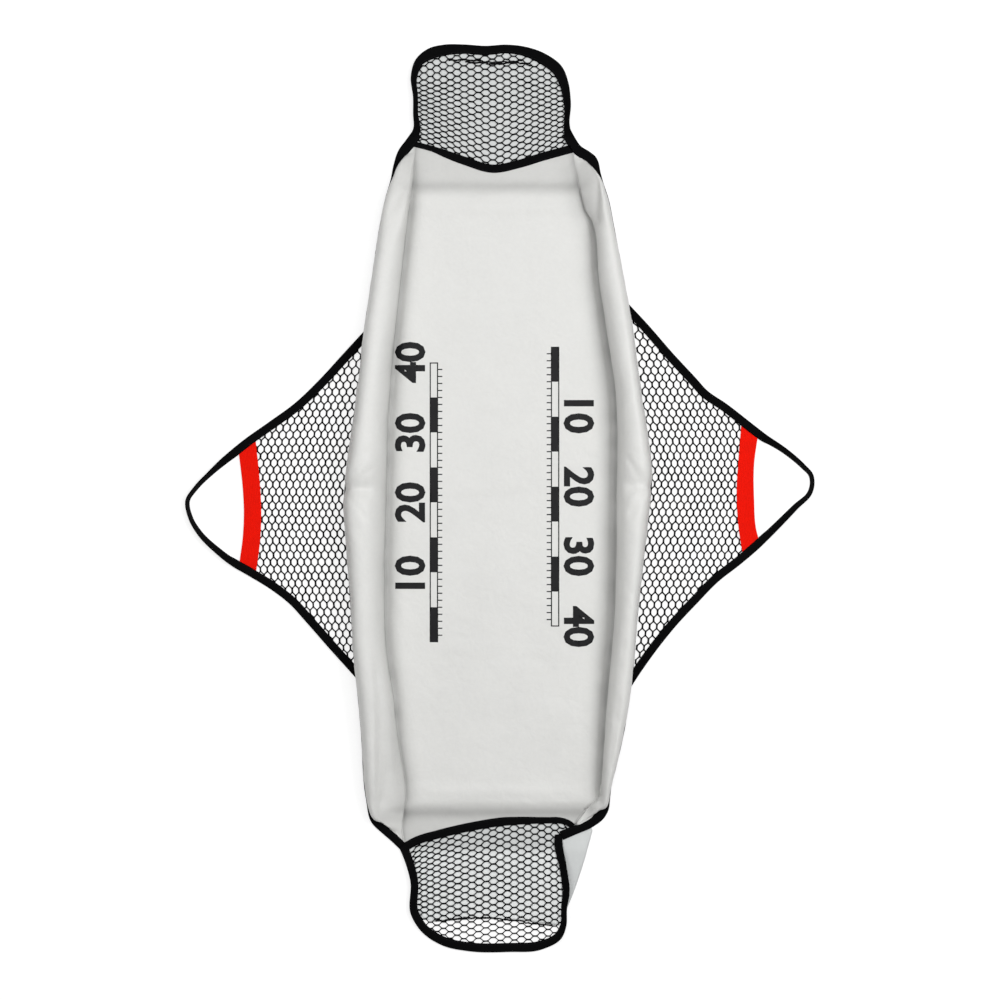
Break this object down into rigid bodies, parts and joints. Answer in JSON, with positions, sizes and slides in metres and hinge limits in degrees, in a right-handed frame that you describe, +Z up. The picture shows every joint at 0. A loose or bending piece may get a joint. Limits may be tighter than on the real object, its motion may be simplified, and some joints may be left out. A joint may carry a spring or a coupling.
{
  "type": "unhooking mat",
  "caption": "Padded grey unhooking mat with soft side walls, black net end flaps, and net wings with hand loops and red straps",
  "frame": {"origin": "on the ground, in the middle of the mat's whole length and width", "axes": "+Z up, +Y towards the head end (the narrower end flap), +X to the right seen from above"},
  "size_m": [0.8991, 1.3012, 0.0644],
  "materials": {
    "coated_grey_sheet": "grey PVC-coated fabric, satin",
    "coated_grey_base": "grey PVC-coated fabric, satin",
    "white_foam": "closed-cell foam inside the cover, never seen",
    "black_tape": "black woven binding tape, matt",
    "black_net": "black knitted polyester netting",
    "red_webbing": "bright red woven webbing"
  },
  "bodies": {
    "mat": {"base_sheet": "coated_grey_base", "liner": "coated_grey_sheet", "floor_pad": "white_foam", "left_wall_foam": "white_foam", "right_wall_foam": "white_foam", "head_seam_binding": "black_tape", "tail_seam_binding": "black_tape", "left_side_binding": "black_tape", "right_side_binding": "black_tape", "head_net_margin": "black_net", "tail_net_margin": "black_net", "left_net_margin": "black_net", "right_net_margin": "black_net", "left_head_tape_end": "black_tape", "left_tail_tape_end": "black_tape", "right_head_tape_end": "black_tape", "right_tail_tape_end": "black_tape"},
    "head_flap": {"head_net": "black_net", "head_rim_binding": "black_tape"},
    "tail_flap": {"tail_net": "black_net", "tail_rim_binding": "black_tape"},
    "left_wing": {"left_wing_net": "black_net", "left_handle_tape": "black_tape", "left_red_strap": "red_webbing"},
    "right_wing": {"right_wing_net": "black_net", "right_handle_tape": "black_tape", "right_red_strap": "red_webbing"}
  },
  "joints": [
    {"name": "head_flap_fold", "type": "hinge", "parent": "mat", "child": "head_flap", "pos_m": [-0.013, 0.528, 0.004], "axis": [1, 0, 0], "range_deg": [0, 170]},
    {"name": "tail_flap_fold", "type": "hinge", "parent": "mat", "child": "tail_flap", "pos_m": [-0.0216, -0.4966, 0.004], "axis": [-0.9988, -0.0489, 0], "range_deg": [0, 170]},
    {"name": "left_wing_fold", "type": "hinge", "parent": "mat", "child": "left_wing", "pos_m": [-0.2295, 0, 0.0029], "axis": [0, 1, 0], "range_deg": [0, 90]},
    {"name": "right_wing_fold", "type": "hinge", "parent": "mat", "child": "right_wing", "pos_m": [0.2225, 0, 0.0029], "axis": [0, -1, 0], "range_deg": [0, 90]}
  ]
}
